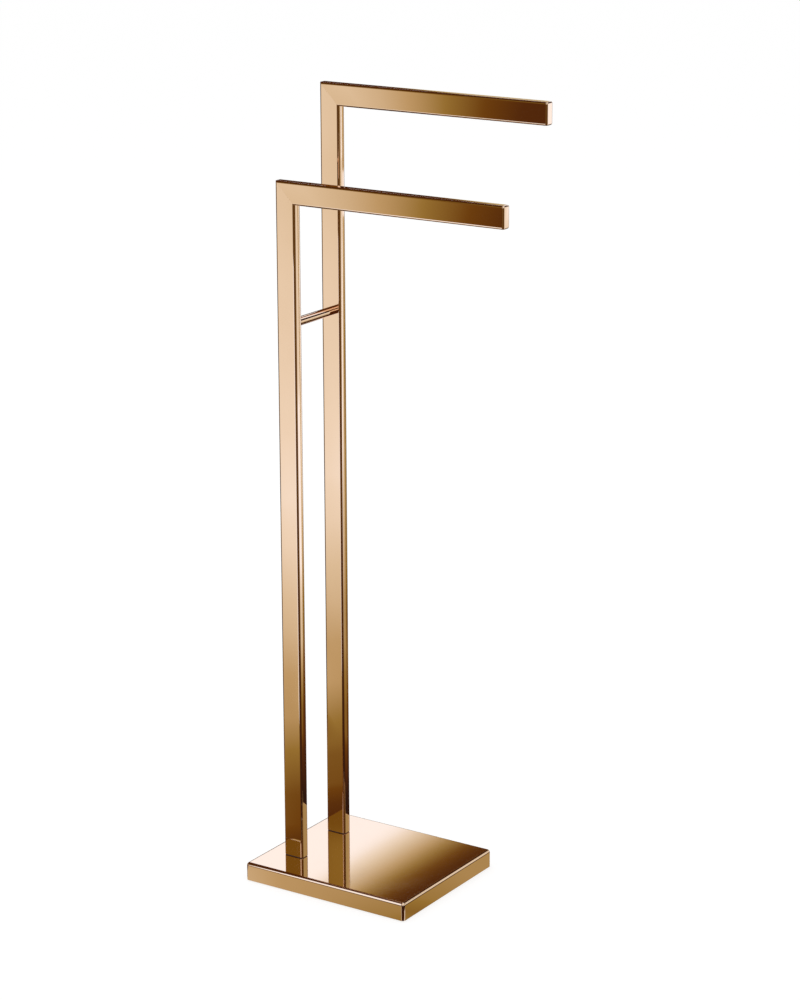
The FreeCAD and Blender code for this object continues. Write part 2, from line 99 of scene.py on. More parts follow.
class StandColours(bpy.types.PropertyGroup):
    """Colours of the finishes."""

    copper: bpy.props.FloatVectorProperty(
        name="Copper", description="Mirror-polished copper of every visible metal piece",
        subtype="COLOR", size=3, min=0, max=1, default=(0.90, 0.63, 0.45))
    copper_worn: bpy.props.FloatVectorProperty(
        name="Copper, handled", description="The same copper where hands and cloths have dulled it",
        subtype="COLOR", size=3, min=0, max=1, default=(0.84, 0.57, 0.39))
    steel: bpy.props.FloatVectorProperty(
        name="Steel", description="Plain steel of the hidden plates and keys",
        subtype="COLOR", size=3, min=0, max=1, default=(0.60, 0.60, 0.61))
    zinc: bpy.props.FloatVectorProperty(
        name="Zinc plate", description="Zinc-plated screws, studs and washers",
        subtype="COLOR", size=3, min=0, max=1, default=(0.66, 0.67, 0.69))
    black: bpy.props.FloatVectorProperty(
        name="Blackened steel", description="Black oxide on the bolts and grub screws",
        subtype="COLOR", size=3, min=0, max=1, default=(0.05, 0.05, 0.055))
    iron: bpy.props.FloatVectorProperty(
        name="Cast iron", description="The weight inside the base",
        subtype="COLOR", size=3, min=0, max=1, default=(0.18, 0.18, 0.19))
    rubber: bpy.props.FloatVectorProperty(
        name="Rubber", description="The pad under the base",
        subtype="COLOR", size=3, min=0, max=1, default=(0.05, 0.047, 0.045))
    brown_rubber: bpy.props.FloatVectorProperty(
        name="Brown rubber", description="The thin gaskets under the posts",
        subtype="COLOR", size=3, min=0, max=1, default=(0.050, 0.016, 0.007))


# ---------------------------------------------------------------- mesh tools

def deselect():
    """Leaves edit mode with nothing selected."""
    if bpy.context.object and bpy.context.object.mode != "OBJECT":
        bpy.ops.object.mode_set(mode="OBJECT")
    bpy.ops.object.select_all(action="DESELECT")


def take_up(piece):
    """Selects one piece alone and makes it the active one."""
    deselect()
    piece.select_set(True)
    bpy.context.view_layer.objects.active = piece


def start_box(name, low, high):
    """A box from its lowest to its highest corner, active and selected, with its place in its mesh."""
    deselect()
    low, high = Vector(low), Vector(high)
    bpy.ops.mesh.primitive_cube_add(size=1, location=(low + high) / 2, scale=high - low)
    bpy.ops.object.transform_apply(location=True, rotation=True, scale=True)
    piece = bpy.context.object
    piece.name = piece.data.name = name
    return piece


def pick(piece, edges=None, faces=None):
    """In edit mode, selects the edges or faces for which the test says yes."""
    bpy.ops.object.mode_set(mode="EDIT")
    bpy.ops.mesh.select_mode(type="EDGE" if edges else "FACE")
    bpy.ops.mesh.select_all(action="DESELECT")
    mesh = bmesh.from_edit_mesh(piece.data)
    for part, test in ((mesh.edges, edges), (mesh.faces, faces)):
        for item in part if test else ():
            item.select_set(bool(test(item)))
    mesh.select_flush_mode()
    bmesh.update_edit_mesh(piece.data)


def runs_along(axis):
    """A test for straight edges that run along an axis."""
    def test(edge):
        run = edge.verts[1].co - edge.verts[0].co
        return abs(run[axis]) > 0.999 * run.length
    return test


def on_plane(point, normal, reach=1e-6):
    """A test for edges or faces that lie in a plane."""
    point, normal = Vector(point), Vector(normal).normalized()
    return lambda item: all(abs((v.co - point).dot(normal)) < reach for v in item.verts)


def round_picked(width, segments):
    """Bevels what is selected to a rounded edge, or to a chamfer with one segment."""
    bpy.ops.mesh.bevel(offset=width, offset_type="OFFSET", segments=segments, profile=0.5,
                       affect="EDGES", clamp_overlap=True)


def cut_away(piece, point, normal):
    """Cuts a piece through with a plane, drops the side that the normal points to and closes the cut."""
    bpy.ops.object.mode_set(mode="EDIT")
    bpy.ops.mesh.select_all(action="SELECT")
    bpy.ops.mesh.bisect(plane_co=point, plane_no=normal, use_fill=True, clear_outer=True)


def finish_piece(piece, *replaced, slot=COPPER_SLOT):
    """Smooth-shades a piece so that its flat faces stay true mirrors, then rides it on the stand."""
    bpy.ops.object.mode_set(mode="EDIT")
    bpy.ops.mesh.select_all(action="SELECT")
    bpy.ops.mesh.remove_doubles(threshold=1e-7)
    bpy.ops.mesh.normals_make_consistent(inside=False)
    take_up(piece)
    bpy.ops.object.shade_smooth_by_angle(angle=math.radians(SMOOTH_ANGLE))
    flat = piece.modifiers.new("Flat faces", "WEIGHTED_NORMAL")
    flat.keep_sharp, flat.weight = True, 100
    bpy.ops.object.modifier_apply(modifier=flat.name)
    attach(piece, BODY)
    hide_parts(*replaced)
    return piece


# ---------------------------------------------------------------- materials

class Nodes:
    """A short way to write a material's node tree."""

    def __init__(self, tree):
        self.tree = tree
        tree.nodes.clear()

    def add(self, kind, inputs=None, **settings):
        """A node of a kind. Each input is linked to a socket, or set where it is a plain value."""
        node = self.tree.nodes.new("ShaderNode" + kind)
        for key, value in settings.items():
            setattr(node, key, value)
        for key, value in (inputs or {}).items():
            if isinstance(value, bpy.types.NodeSocket):
                self.tree.links.new(value, node.inputs[key])
            else:
                node.inputs[key].default_value = value
        return node

    def place(self):
        """The object's own coordinates."""
        return self.add("TexCoord").outputs["Object"]

    def split(self, vector):
        """A vector's x, y and z."""
        return self.add("SeparateXYZ", {0: vector}).outputs

    def math(self, operation, a, b=0.0, clamp=False):
        return self.add("Math", {0: a, 1: b}, operation=operation, use_clamp=clamp).outputs[0]

    def ease(self, value, start, end, low=0.0, high=1.0):
        """Goes smoothly from low at start to high at end."""
        return self.add("MapRange", {"Value": value, "From Min": start, "From Max": end,
                                     "To Min": low, "To Max": high},
                        interpolation_type="SMOOTHSTEP").outputs["Result"]

    def between(self, value, start, full, fade, end):
        """0 up to start, 1 from full to fade, and 0 again past end."""
        return self.math("MULTIPLY", self.ease(value, start, full), self.ease(value, end, fade))

    def direction(self, x, y):
        """The direction of a point in degrees, 0 at +Y and 90 at +X."""
        return self.math("MULTIPLY", self.math("ARCTAN2", x, y), math.degrees(1))

    def noise(self, where, scale, detail=2.0, roughness=0.5):
        return self.add("TexNoise", {"Vector": where, "Scale": scale, "Detail": detail,
                                     "Roughness": roughness}).outputs["Fac"]

    def mix(self, factor, a, b):
        """A number between a and b."""
        return self.add("Mix", {0: factor, 2: a, 3: b}, data_type="FLOAT").outputs[0]

    def blend(self, factor, a, b):
        """A colour between a and b."""
        node = self.add("Mix", {0: factor}, data_type="RGBA")
        for socket, value in ((6, a), (7, b)):
            if isinstance(value, bpy.types.NodeSocket):
                self.tree.links.new(value, node.inputs[socket])
            else:
                node.inputs[socket].default_value = (*value, 1)
        return node.outputs[2]

    def surface(self, shader):
        """Makes a shader the material's surface."""
        output = self.add("OutputMaterial")
        self.tree.links.new(shader.outputs[0], output.inputs["Surface"])


def new_material(name):
    """An empty material and its nodes."""
    material = bpy.data.materials.new(name)
    material.use_nodes = True
    return material, Nodes(material.node_tree)


def stretched(n, along, run, across):
    """Object coordinates, scaled by run along one axis and by across on the other two."""
    scale = [run if axis == along else across for axis in range(3)]
    return n.add("Mapping", {"Vector": n.place(), "Scale": scale}).outputs["Vector"]


# The polished copper's roughness where it is clean, and what haze and the polishing lines add to it
CLEAN_ROUGHNESS = 0.018
HAZE_ROUGHNESS = 0.022
LINES_ROUGHNESS = 0.018
# How far the polished swelling at an arm's mitre runs from the joint, and how proud it stands there
MITRE_SWELL_RUN = 0.032
MITRE_SWELL_RISE = 0.0001


def copper_finish(name, along, colours, joint=None):
    """Mirror-polished copper. along is the axis that the polishing wheel ran on: 0, 1 or 2.
    joint is the outer corner of a mitre that the polishing left a hair proud."""
    material, n = new_material(name)
    place = n.place()
    grain = n.noise(stretched(n, along, run=30, across=1800), scale=1, detail=3, roughness=0.7)
    haze = n.ease(n.noise(place, scale=9, detail=4, roughness=0.6), 0.52, 0.78)
    wave = n.noise(place, scale=14, detail=1, roughness=0.4)
    rough = n.math("ADD", n.math("MULTIPLY", haze, HAZE_ROUGHNESS),
                   n.math("MULTIPLY", grain, LINES_ROUGHNESS))
    bump = n.add("Bump", {"Height": n.math("ADD", n.math("MULTIPLY", grain, 0.02), wave),
                          "Strength": 0.012, "Distance": 0.0003})
    if joint:
        bump = mitre_swell(n, place, joint, bump)
    shader = n.add("BsdfPrincipled", {
        "Base Color": n.blend(n.math("MULTIPLY", haze, 0.35), colours.copper, colours.copper_worn),
        "Metallic": 1.0,
        "Roughness": n.math("ADD", rough, CLEAN_ROUGHNESS),
        "Normal": bump.outputs[0],
    })
    n.surface(shader)
    return material


def mitre_swell(n, place, joint, bump):
    """Adds to a bump the swelling on an arm's two side faces, which fades away from the mitre."""
    x, _, z = n.split(place)
    past = n.math("ADD", n.math("SUBTRACT", x, joint.x), n.math("SUBTRACT", z, joint.z))
    rise = n.math("SUBTRACT", 1.0, n.math("DIVIDE", past, MITRE_SWELL_RUN), clamp=True)
    across = n.split(n.add("NewGeometry").outputs["Normal"])["Y"]
    side = n.ease(n.math("ABSOLUTE", across), 0.7, 0.97)
    rise = n.math("MULTIPLY", n.math("MULTIPLY", rise, rise), side)
    return n.add("Bump", {"Height": n.math("MULTIPLY", rise, MITRE_SWELL_RISE),
                          "Strength": 1.0, "Distance": 1.0, "Normal": bump.outputs[0]})


def bare_steel(name, colour, along=0):
    """Satin steel with brush lines along one axis."""
    material, n = new_material(name)
    grain = n.noise(stretched(n, along, run=60, across=2500), scale=1, detail=4, roughness=0.7)
    tint = n.blend(grain, [0.82 * c for c in colour], colour)
    bump = n.add("Bump", {"Height": grain, "Strength": 0.25, "Distance": 0.00003})
    n.surface(n.add("BsdfPrincipled", {"Base Color": tint, "Metallic": 1.0,
                                       "Roughness": n.ease(grain, 0.2, 0.8, 0.28, 0.45),
                                       "Normal": bump.outputs[0]}))
    return material


def black_oxide(name, colour):
    """Blackened screws, with bare steel showing at high spots."""
    material, n = new_material(name)
    speck = n.noise(n.place(), scale=900, detail=3, roughness=0.6)
    tint = n.blend(n.ease(speck, 0.62, 0.75), colour, [3 * c for c in colour])
    bump = n.add("Bump", {"Height": speck, "Strength": 0.3, "Distance": 0.00003})
    n.surface(n.add("BsdfPrincipled", {"Base Color": tint, "Metallic": 0.9,
                                       "Roughness": n.ease(speck, 0.3, 0.7, 0.32, 0.5),
                                       "Normal": bump.outputs[0]}))
    return material


def cast_finish(name, colour):
    """Sand-cast iron: a coarse skin with fine pits."""
    material, n = new_material(name)
    place = n.place()
    coarse = n.noise(place, scale=90, detail=4, roughness=0.6)
    pits = n.noise(place, scale=900)
    tint = n.blend(coarse, [0.7 * c for c in colour], [1.25 * c for c in colour])
    height = n.math("ADD", coarse, n.math("MULTIPLY", pits, 0.5))
    bump = n.add("Bump", {"Height": height, "Strength": 0.6, "Distance": 0.0003})
    n.surface(n.add("BsdfPrincipled", {"Base Color": tint, "Metallic": 0.6,
                                       "Roughness": n.ease(coarse, 0.3, 0.7, 0.55, 0.75),
                                       "Normal": bump.outputs[0]}))
    return material


def rubber_finish(name, colour):
    """Moulded rubber: matt, with a fine leathery skin and a dusting of grey."""
    material, n = new_material(name)
    place = n.place()
    skin = n.add("TexVoronoi", {"Vector": place, "Scale": 900.0}).outputs["Distance"]
    dust = n.ease(n.noise(place, scale=40, detail=4, roughness=0.6), 0.5, 0.8)
    tint = n.blend(n.math("MULTIPLY", dust, 0.4), colour, [2.6 * c for c in colour])
    bump = n.add("Bump", {"Height": skin, "Strength": 0.35, "Distance": 0.0001})
    n.surface(n.add("BsdfPrincipled", {"Base Color": tint,
                                       "Roughness": n.ease(dust, 0, 1, 0.62, 0.85),
                                       "Normal": bump.outputs[0]}))
    return material


def wear(piece, material):
    """Gives a piece one material."""
    piece.data.materials.clear()
    piece.data.materials.append(material)


# ---------------------------------------------------------------- the stand's pieces

class STAND_OT_tubes(bpy.types.Operator):
    """Builds the two posts and the two arms: rectangular tube with rounded edges, mitred at the top"""

    bl_idname = "towel_stand.tubes"
    bl_label = "Posts and Arms"

    def execute(self, context):
        sizes, colours = context.scene.stand_sizes, context.scene.stand_colours
        upright = copper_finish("polished_copper_upright", 2, colours)
        for side in ("front", "rear"):
            foot, post_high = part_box(side + "_post")
            free_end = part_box(side + "_arm")[1]
            corner = Vector((foot.x, 0, post_high.z))
            level = copper_finish("polished_copper_" + side + "_arm", 0, colours, corner)
            wear(self.tube(sizes, side + "_post", 2, foot, corner, (1, 0, 1)), upright)
            wear(self.tube(sizes, side + "_arm", 0, free_end, corner, (-1, 0, -1)), level)
        return {"FINISHED"}

    def tube(self, sizes, node, axis, far_end, corner, waste):
        """One tube along an axis. The mitre runs through the bend's outer corner, and waste points
        to the side that it cuts off. Both ends get a fine chamfer."""
        piece = start_box(node + "_polished", *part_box(node))
        pick(piece, edges=runs_along(axis))
        round_picked(sizes.tube_edge, segments=6)
        cut_away(piece, corner, waste)
        for point, normal in ((corner, waste), (far_end, Matrix.Identity(3)[axis])):
            pick(piece, edges=on_plane(point, normal))
            round_picked(sizes.seam_edge, segments=1)
        return finish_piece(piece, node)


class STAND_OT_end_caps(bpy.types.Operator):
    """Builds the plates that close the arms' ends, rounded like the tube and softened round the face"""

    bl_idname = "towel_stand.end_caps"
    bl_label = "End Caps"

    def execute(self, context):
        sizes, colours = context.scene.stand_sizes, context.scene.stand_colours
        material = copper_finish("polished_copper_caps", 2, colours)
        for side in ("front", "rear"):
            low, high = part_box(side + "_end_cap")
            low.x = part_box(side + "_arm")[1].x
            piece = start_box(side + "_end_cap_polished", low, high)
            pick(piece, edges=runs_along(0))
            round_picked(sizes.tube_edge, segments=6)
            pick(piece, edges=on_plane(high, (1, 0, 0)))
            round_picked(sizes.cap_edge, segments=5)
            pick(piece, edges=on_plane(low, (1, 0, 0)))
            round_picked(sizes.seam_edge, segments=1)
            finish_piece(piece, side + "_end_cap")
            wear(piece, material)
        return {"FINISHED"}


class STAND_OT_base_cover(bpy.types.Operator):
    """Builds the polished cover of the base: a drawn shell, open below, with rounded corners"""

    bl_idname = "towel_stand.base_cover"
    bl_label = "Base Cover"

    def execute(self, context):
        sizes, colours = context.scene.stand_sizes, context.scene.stand_colours
        low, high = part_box("base_cover")
        piece = start_box("base_cover_polished", low, high)
        pick(piece, edges=runs_along(2))
        round_picked(sizes.base_edge, segments=6)
        pick(piece, edges=on_plane(high, (0, 0, 1)))
        round_picked(sizes.base_edge, segments=6)
        pick(piece, faces=on_plane(low, (0, 0, 1)))
        bpy.ops.mesh.inset(thickness=sizes.cover_wall, use_even_offset=True)
        depth = high.z - low.z - sizes.cover_wall
        bpy.ops.mesh.extrude_region_move(TRANSFORM_OT_translate={"value": (0, 0, depth)})
        pick(piece, edges=on_plane(high - Vector((0, 0, sizes.cover_wall)), (0, 0, 1)))
        round_picked(sizes.base_inside_edge, segments=3)
        finish_piece(piece, "base_cover")
        wear(piece, copper_finish("polished_copper_base", 0, colours))
        return {"FINISHED"}


class STAND_OT_spacer_bar(bpy.types.Operator):
    """Builds the round bar between the posts, with chamfered ends and two grub screw holes below"""

    bl_idname = "towel_stand.spacer_bar"
    bl_label = "Spacer Bar"

    def execute(self, context):
        sizes, colours = context.scene.stand_sizes, context.scene.stand_colours
        low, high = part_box("spacer_bar")
        middle, radius = (low + high) / 2, (high.z - low.z) / 2
        deselect()
        bpy.ops.mesh.primitive_cylinder_add(vertices=64, radius=radius, depth=high.y - low.y,
                                            location=middle, rotation=(math.pi / 2, 0, 0))
        bpy.ops.object.transform_apply(location=True, rotation=True, scale=True)
        piece = bpy.context.object
        piece.name = piece.data.name = "spacer_bar_polished"
        ends = [on_plane(end, (0, 1, 0)) for end in (low, high)]
        pick(piece, edges=lambda edge: any(end(edge) for end in ends))
        round_picked(sizes.bar_chamfer, segments=2)
        screw_low, screw_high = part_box("spacer_grub_screws")
        reach = (screw_high.x - screw_low.x) / 2
        for y in (screw_low.y + reach, screw_high.y - reach):
            deselect()
            bpy.ops.mesh.primitive_cylinder_add(vertices=32, radius=sizes.grub_hole / 2,
                                                depth=radius, location=(middle.x, y, low.z))
            drill = bpy.context.object
            take_up(piece)
            hole = piece.modifiers.new("Grub hole", "BOOLEAN")
            hole.object, hole.operation, hole.solver = drill, "DIFFERENCE", "EXACT"
            bpy.ops.object.modifier_apply(modifier=hole.name)
            bpy.data.objects.remove(drill)
        finish_piece(piece, "spacer_bar")
        wear(piece, copper_finish("polished_copper_bar", 1, colours))
        return {"FINISHED"}


class STAND_OT_hardware(bpy.types.Operator):
    """Gives the rubber, the weight, the plates, the keys and the screws their finishes"""

    bl_idname = "towel_stand.hardware"
    bl_label = "Rubber and Hardware"

    def execute(self, context):
        colours = context.scene.stand_colours
        steel = bare_steel("plain_steel_brushed", colours.steel)
        zinc = bare_steel("zinc_plate_satin", colours.zinc, along=2)
        black = black_oxide("black_oxide_screws", colours.black)
        rubber = rubber_finish("moulded_rubber", colours.rubber)
        iron = cast_finish("sand_cast_iron", colours.iron)
        gasket = rubber_finish("brown_gasket_rubber", colours.brown_rubber)
        finishes = (
            (iron, ("base_weight",)),
            (steel, ("bottom_plate", "front_corner_key", "rear_corner_key",
                     "front_foot_block", "rear_foot_block", "spacer_blocks")),
            (zinc, ("spacer_studs", "post_washers", "plate_screws")),
            (black, ("post_screws", "spacer_grub_screws")),
            (rubber, ("floor_pad",)),
            (gasket, ("post_gaskets",)),
        )
        for material, nodes in finishes:
            for node in nodes:
                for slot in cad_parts[node].material_slots:
                    slot.material = material
        return {"FINISHED"}


# ---------------------------------------------------------------- the studio's values

# The photograph's viewpoint, from a fit to the stand's edges: the camera's place, how far it stands
# round from the front, looks down and leans, in degrees, and its lens
VIEW_PLACE = (1.7405, -2.5928, 1.3466)
VIEW_ANGLES = (33.199, 16.070, -0.164)
VIEW_LENS_MM = 105.52
VIEW_SENSOR_MM = 36.0
VIEW_CLIP = (0.05, 200)

# The white surround's strength as light. The floor is matt, in two greys, and a glow brings it up to
# the background's white. The lamp is a soft one overhead.
SURROUND_LIGHT = 0.8
FLOOR_SIZE = 60
FLOOR_SHADES = (0.28, 0.30)
FLOOR_GLOW = 0.765
LAMP_PLACE = (-0.8, -0.6, 3.6)
LAMP_SIZE = 2.4
LAMP_POWER = 24

# Everything below shows only in the polished metal. Tones go from 0, dark, to 1, bright, and the table
# gives the light for some of them: what the copper sends back as dark browns, golds and creams.
STUDIO_TONES = (
    (0.00, (0.030, 0.014, 0.010)),
    (0.12, (0.089, 0.031, 0.008)),
    (0.25, (0.167, 0.076, 0.010)),
    (0.42, (0.340, 0.250, 0.066)),
    (0.60, (0.572, 0.484, 0.282)),
    (0.80, (0.796, 0.789, 0.669)),
    (0.92, (0.960, 1.020, 1.030)),
    (1.00, (1.120, 1.300, 1.550)),
)

# Panels of the tent round the stand: name, direction from and to, elevation from and to, slant, tone,
# and how far each of the four sides fades, all in degrees. Slant is how many degrees of direction an
# upright side leans for each degree of elevation. A later panel covers those before it.
TENT_RADIUS = 99
TENT_TONE = 0.92
TENT_PANELS = (
    ("gold side left", -130, -50, 5, 31, 0.0, 0.45, (4, 6, 2, 2)),
    ("bright card behind left", -58, -2, 18, 27, 0.0, 1.0, (6, 4, 1.0, 1.5)),
    ("high band behind", 8.5, 71, 17, 27, 1.8, 0.10, (1.6, 3, 2, 1.5)),
    ("top flag behind", -31, 21, 28, 60, 0.0, 0.06, (3, 3, 1.5, 6)),
    ("grey card behind", -37, -22, -5, 13, 0.0, 0.60, (1, 2, 1, 2)),
    ("flag above grey card", -60, -22, 13, 20.3, 0.0, 0.10, (2, 4, 1, 0.7)),
    ("low flag behind left", -75, -36.6, -5, 16, -0.45, 0.08, (10, 0.7, 1, 1.0)),
    ("horizon flag behind", -75, -10, -5, 5.5, 0.0, 0.12, (10, 4, 1, 1.0)),
    ("high flag left", -190, -35.5, 27, 80, 0.0, 0.10, (6, 1.2, 2, 6)),
    ("middle flag left", -90, -39.5, 8, 40, 0.0, 0.10, (8, 1.2, 3, 3)),
    ("dim card front left", -178, -122, -5, 27, 0.0, 0.26, (4, 6, 2, 2)),
    ("edge flag right", 47, 181, 15, 28, 0.0, 0.04, (2, 0.5, 2, 2)),
    ("edge flag front left", -181, -149.5, 15, 28, 0.0, 0.04, (0.5, 0.5, 2, 2)),
)
# Cards in colours that the tones don't hold, for what the copper mirrors twice: name, the same four
# sides and fades, and the colour
COLOUR_CARDS = (
    ("cool card behind right", 33.2, 50, 18, 26, (0.5, 2, 1.5, 1.5), (0.46, 0.51, 0.32)),
    ("deep gold card front left", -151.5, -128, 15, 28, (0.5, 4, 2, 2), (0.205, 0.148, 0.022)),
    ("gold card front left", -151, -145.05, 22.6, 28, (1, 0.3, 0.25, 2), (0.305, 0.272, 0.068)),
)

# Upright cards near the stand: name, tone, y, x from and to, z from and to. The first draws the light
# line along the base's front edge, and the others draw the stripes on the spacer bar.
CARD_THICKNESS = 0.002
NEAR_CARDS = (
    ("kicker_card", 1.0, -0.501, -0.377, -0.12, 0.015, 0.62),
    ("light_card_behind", 1.0, 1.2, -0.66, 0.50, 1.25, 1.57),
    ("dark_card_behind", 0.03, 1.2, 0.50, 1.40, 0.97, 1.57),
    ("dark_card_behind_low", 0.03, 1.2, 0.73, 1.40, 0.83, 0.97),
)

# Golden windows lie round the eight main directions, so that the upright faces and the base's top
# aren't dark in the views from there. WINDOW_EDGE holds the degrees from a main direction at which a
# window ends and is whole. On the sheet windows are narrower by distance: metres from and to, and how
# much narrower at each.
WINDOW_SPACING = 45
WINDOW_EDGE = (6.5, 4.5)
SHEET_WINDOW_NARROWER = (1.5, 2.6, 1.7, 1.1)
SHEET_WINDOW_TONE = 0.42
# In the tent: elevations where a window starts, is whole, fades and ends, and its tone by elevation
TENT_WINDOW_HEIGHT = (12, 15, 27, 30)
TENT_WINDOW_TONE = (20.8, 22.4, 0.85, 0.4)

# The graded sheet lies a hair above the floor. Its tone is a tone by distance, times one by direction,
# times what some shades leave. Distances are in metres from SHEET_MIDDLE, right of the posts' feet and
# a little behind the middle of the base.
SHEET_SIZE = 200
SHEET_HEIGHT = 0.0005
SHEET_MIDDLE = (0.046, 0.065)
SHEET_RADIUS = 5.0
TONE_BY_DISTANCE = (
    (0.10, 0.0), (0.25, 0.16), (0.31, 0.28), (0.41, 0.31), (0.55, 0.47), (0.68, 0.65),
    (0.85, 0.70), (1.03, 0.84), (1.24, 0.94), (1.46, 1.03), (1.73, 1.07), (2.00, 1.05),
    (2.70, 1.00), (3.50, 0.98), (4.40, 0.94),
)
# Tone by direction, far from the stand and nearer to it, and the distances between which one becomes
# the other
FAR_TONE = (
    (-180, 0.08), (-152, 0.13), (-150.4, 0.26), (-148.6, 0.46), (-147.2, 0.66), (-145.4, 0.84),
    (-144, 0.90), (-95, 0.90), (-60, 0.6), (-45, 0.15), (18, 0.15), (25, 0.98), (32, 1.06),
    (34, 1.08), (34.8, 1.20), (45, 1.15), (60, 0.10), (180, 0.08),
)
CLOSER_TONE = (
    (-180, 0.08), (-166, 0.10), (-160, 0.85), (-148, 0.88), (-143.3, 0.885), (-141.5, 0.85),
    (-134, 0.98), (-110, 1.05), (-60, 0.6), (-45, 0.15), (10, 0.15), (18, 1.20), (25, 1.15),
    (27, 1.08), (28.6, 0.84), (29.8, 0.74), (31.2, 0.74), (31.9, 0.60), (32.4, 0.70),
    (33.1, 0.96), (33.9, 1.26), (34.4, 1.16), (52, 1.10), (66, 0.10), (180, 0.08),
)
CLOSER_TO_FAR = (2.4, 4.0)
# The arms' dark ends mirror the edge near the start of the far tone. Between EDGE_DISTANCES it grows
# steeper: a direction is read further from EDGE_MIDDLE, by a share of its way from there, and on the
# bright side by no more than a limit in degrees.
EDGE_MIDDLE = -146.304
EDGE_DISTANCES = (4.8, 5.6)
EDGE_STEEPER = 0.35
EDGE_STEEPER_LIMIT = 1.44
# Shades: name, distances where they start and are whole, and how much they take off by direction
SHADES = (
    ("left", 0.7, 1.2, ((-139.5, 0.0), (-135.5, 0.95), (-50, 0.95), (-40, 0.0))),
    ("left and close", 0.44, 0.60, ((-134.6, 0.0), (-131, 0.95), (-50, 0.95), (-40, 0.0))),
    ("right", 1.6, 2.3, ((33.2, 0.0), (34.4, 0.26), (60, 0.26), (62, 0.0))),
    ("behind", 0.6, 0.85, ((-45, 0.0), (-40, 0.95), (26, 0.95), (28.6, 0.0))),
)
# Two dark lines draw the dark line down the far border of each post's right face. They fan out from
# the viewpoint's mirror image in the plane that holds both faces. For each: the degrees round that
# point where the line starts, is whole, fades and ends. The rear post's line has a gap, by distance,
# where the front arm's end cap mirrors the sheet. LINES_START is where the lines come in, in y, and
# LINES_SHARE is what they leave of the tone.
FAN_PLACE = (-1.8585, -2.5928)
FRONT_LINE = (34.8, 34.9, 35.185, 35.2)
REAR_LINE = (33.3, 33.5, 34.295, 34.309)
REAR_LINE_GAP = (3.95, 4.0, 4.6, 4.7)
LINES_START = (0.1, 0.2)
LINES_SHARE = 0.6

# Close to the base the sheet has tones of its own by direction, which the base's sides and the posts'
# feet mirror. This zone reaches as far as ZONE_REACH in x and y and not past the line x + y =
# ZONE_CORNER. Left of ZONE_LEFT it holds only what lies in front of ZONE_FRONT. Its border is soft
# over ZONE_FADE.
ZONE_TONE = (
    (-180, 0.545), (-147, 0.585), (-130, 0.68), (-90, 0.60), (0, 0.50), (65, 0.507), (82, 0.475),
    (101, 0.445), (119, 0.36), (142, 0.46), (165, 0.515), (180, 0.545),
)
ZONE_REACH = (0.132, 0.131)
ZONE_CORNER = -0.262
ZONE_LEFT = -0.112
ZONE_FRONT = -0.095
ZONE_FADE = 0.005
# In front of the base's nearest corner lies a dark wedge inside a light one: the degrees round the
# corner, 0 at -Y and 90 at +X, where each starts, is whole, fades and ends, and its tone
WEDGE_PLACE = (0.1064, -0.0914)
WEDGES = (
    ("light wedge", (-27, -22, 134, 141), 0.95),
    ("dark wedge", (-20, -10, 104, 116), 0.04),
)


# ---------------------------------------------------------------- the studio

def ramp_of(n, value, stops):
    """A colour read off straight lines between stops: a position from 0 to 1, and a colour."""
    ramp = n.add("ValToRGB", {"Fac": value})
    elements = ramp.color_ramp.elements
    while len(elements) < len(stops):
        elements.new(0.5)
    for element, (at, colour) in zip(elements, stops):
        element.position, element.color = at, (*colour, 1)
    return ramp.outputs["Color"]


def tone_ramp(n, tone):
    """The light's colour for a tone from 0 to 1."""
    return ramp_of(n, tone, STUDIO_TONES)


def curve(n, value, points):
    """A number read off straight lines between points: a position from 0 to 1, and a height."""
    return ramp_of(n, value, [(at, (height,) * 3) for at, height in points])


def share_of_turn(degrees):
    """A direction from -180 to 180 as a share of the whole turn, from 0 to 1."""
    return (degrees + 180) / 360


def by_direction(n, turn, points):
    """A number read off straight lines between points: a direction in degrees, and a height."""
    return curve(n, turn, [(share_of_turn(degrees), height) for degrees, height in points])


def window(n, direction, narrower=1.0):
    """1 in a narrow band round each of the eight main directions, and 0 between them."""
    off = n.math("PINGPONG", direction, WINDOW_SPACING / 2)
    return n.ease(n.math("MULTIPLY", off, narrower), *WINDOW_EDGE)


def panel(n, direction, height, left, right, bottom, top, fades):
    """How much of a tent panel covers a direction, from 0 to 1."""
    cover = 1.0
    for value, side, fade in ((direction, left, fades[0]), (direction, right, -fades[1]),
                              (height, bottom, fades[2]), (height, top, -fades[3])):
        cover = n.math("MULTIPLY", cover, n.ease(value, side - fade, side + fade))
    return cover


def only_in_reflections(thing):
    """A studio card that polished metal shows, and that neither lights nor shades the scene."""
    thing.visible_camera = thing.visible_diffuse = thing.visible_shadow = False
    thing.visible_transmission = thing.visible_volume_scatter = False


